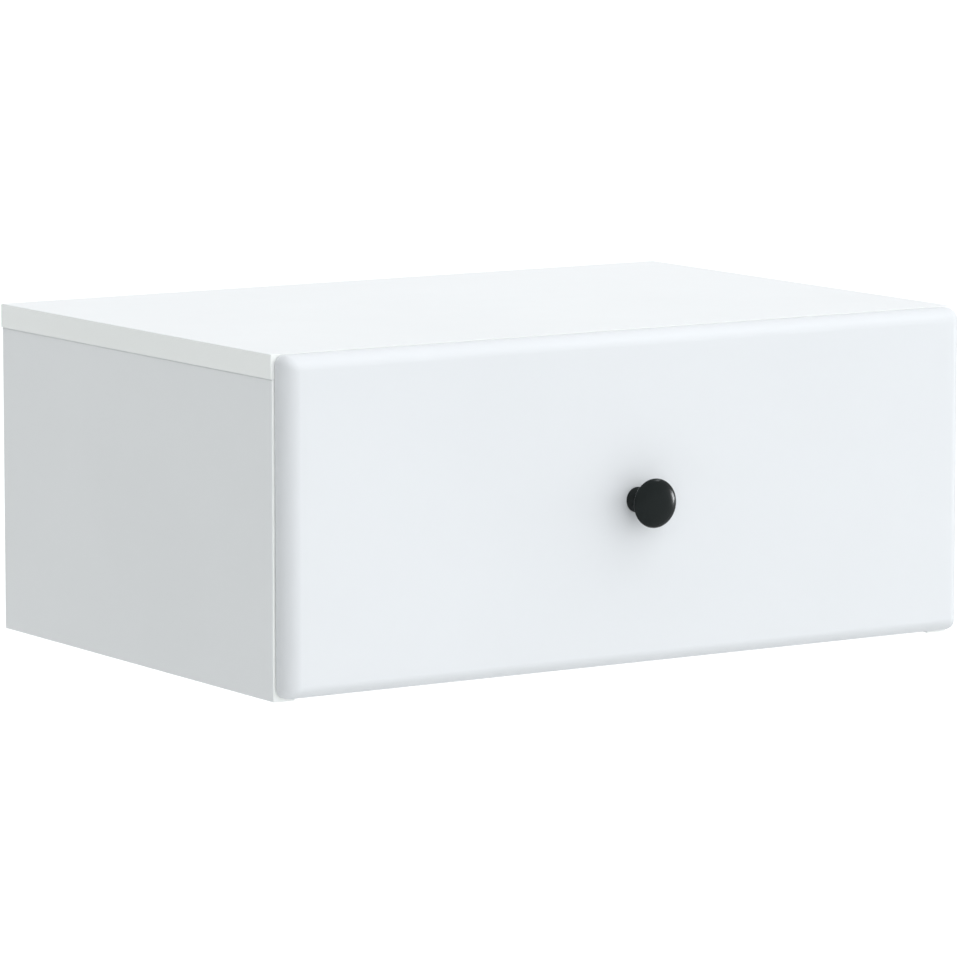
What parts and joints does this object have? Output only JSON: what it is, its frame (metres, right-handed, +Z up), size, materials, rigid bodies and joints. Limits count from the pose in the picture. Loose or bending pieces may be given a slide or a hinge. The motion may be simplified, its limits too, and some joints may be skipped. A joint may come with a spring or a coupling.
{
  "type": "floating nightstand",
  "caption": "White wall-hung nightstand box with one pull-out drawer on roller runners, a rounded-edge drawer front and a black turned knob.",
  "frame": {"origin": "on the wall plane, in the middle of the width, on the line of the two wall screws, at the rear face of the hanging rail", "axes": "+X to the right as seen from the front, +Y into the wall, so the drawer opens along -Y, +Z up"},
  "size_m": [0.6, 0.4482, 0.25],
  "materials": {
    "white_board": "white melamine-faced chipboard, fine satin texture, edges banded in the same white",
    "white_lacquer": "white satin foil or lacquer over fibreboard, smooth rounded edges",
    "back_board": "thin white-faced fibreboard, matte",
    "runner_paint": "white epoxy-coated sheet steel, satin",
    "nylon": "natural white moulded nylon",
    "zinc": "die-cast zinc, dull",
    "steel": "zinc-plated steel",
    "pad_plastic": "soft translucent bumper pad",
    "knob_black": "black, satin, soft highlights"
  },
  "bodies": {
    "cabinet": {"top_panel": "white_board", "side_panel_left": "white_board", "side_panel_right": "white_board", "bottom_panel": "white_board", "hanging_rail": "white_board", "back_panel": "back_board", "cam_lock_top_left_front": "zinc", "cam_lock_top_left_rear": "zinc", "cam_lock_top_right_front": "zinc", "cam_lock_top_right_rear": "zinc", "cam_lock_bottom_left_front": "zinc", "cam_lock_bottom_left_rear": "zinc", "cam_lock_bottom_right_front": "zinc", "cam_lock_bottom_right_rear": "zinc", "cam_lock_rail_left": "zinc", "cam_lock_rail_right": "zinc", "cam_bolt_top_left_front": "steel", "cam_bolt_top_left_rear": "steel", "cam_bolt_top_right_front": "steel", "cam_bolt_top_right_rear": "steel", "cam_bolt_bottom_left_front": "steel", "cam_bolt_bottom_left_rear": "steel", "cam_bolt_bottom_right_front": "steel", "cam_bolt_bottom_right_rear": "steel", "cam_bolt_rail_left": "steel", "cam_bolt_rail_right": "steel", "cabinet_runner_left": "runner_paint", "cabinet_runner_right": "runner_paint", "front_roller_pin_left": "steel", "front_roller_pin_right": "steel", "cabinet_runner_screw_left_front": "steel", "cabinet_runner_screw_left_rear": "steel", "cabinet_runner_screw_right_front": "steel", "cabinet_runner_screw_right_rear": "steel"},
    "drawer": {"drawer_front": "white_lacquer", "drawer_box_front": "white_board", "drawer_box_back": "white_board", "drawer_side_left": "white_board", "drawer_side_right": "white_board", "drawer_bottom": "back_board", "drawer_runner_left": "runner_paint", "drawer_runner_right": "runner_paint", "rear_roller_pin_left": "steel", "rear_roller_pin_right": "steel", "drawer_runner_screw_left_front": "steel", "drawer_runner_screw_left_rear": "steel", "drawer_runner_screw_right_front": "steel", "drawer_runner_screw_right_rear": "steel", "drawer_front_screw_left": "steel", "drawer_front_screw_right": "steel", "knob": "knob_black", "knob_screw": "steel", "bumper_pad_left": "pad_plastic", "bumper_pad_right": "pad_plastic"},
    "front_roller_left": {"front_roller_left": "nylon"},
    "front_roller_right": {"front_roller_right": "nylon"},
    "rear_roller_left": {"rear_roller_left": "nylon"},
    "rear_roller_right": {"rear_roller_right": "nylon"}
  },
  "joints": [
    {"name": "drawer_slide", "type": "slide", "parent": "cabinet", "child": "drawer", "axis": [0, -1, 0], "range_m": [0, 0.265]},
    {"name": "front_roller_left_spin", "type": "hinge", "parent": "cabinet", "child": "front_roller_left", "pos_m": [-0.2767, -0.384, -0.14845], "axis": [1, 0, 0], "range_deg": [-5, 1525]},
    {"name": "front_roller_right_spin", "type": "hinge", "parent": "cabinet", "child": "front_roller_right", "pos_m": [0.2767, -0.384, -0.14845], "axis": [1, 0, 0], "range_deg": [-5, 1525]},
    {"name": "rear_roller_left_spin", "type": "hinge", "parent": "drawer", "child": "rear_roller_left", "pos_m": [-0.2758, -0.06525, -0.14745], "axis": [1, 0, 0], "range_deg": [-5, 1385]},
    {"name": "rear_roller_right_spin", "type": "hinge", "parent": "drawer", "child": "rear_roller_right", "pos_m": [0.2758, -0.06525, -0.14745], "axis": [1, 0, 0], "range_deg": [-5, 1385]}
  ],
  "couplings": [
    {"joint": "front_roller_left_spin", "follows": "drawer_slide", "rad_per_m": 100},
    {"joint": "front_roller_right_spin", "follows": "drawer_slide", "rad_per_m": 100},
    {"joint": "rear_roller_left_spin", "follows": "drawer_slide", "rad_per_m": 90.909},
    {"joint": "rear_roller_right_spin", "follows": "drawer_slide", "rad_per_m": 90.909}
  ]
}
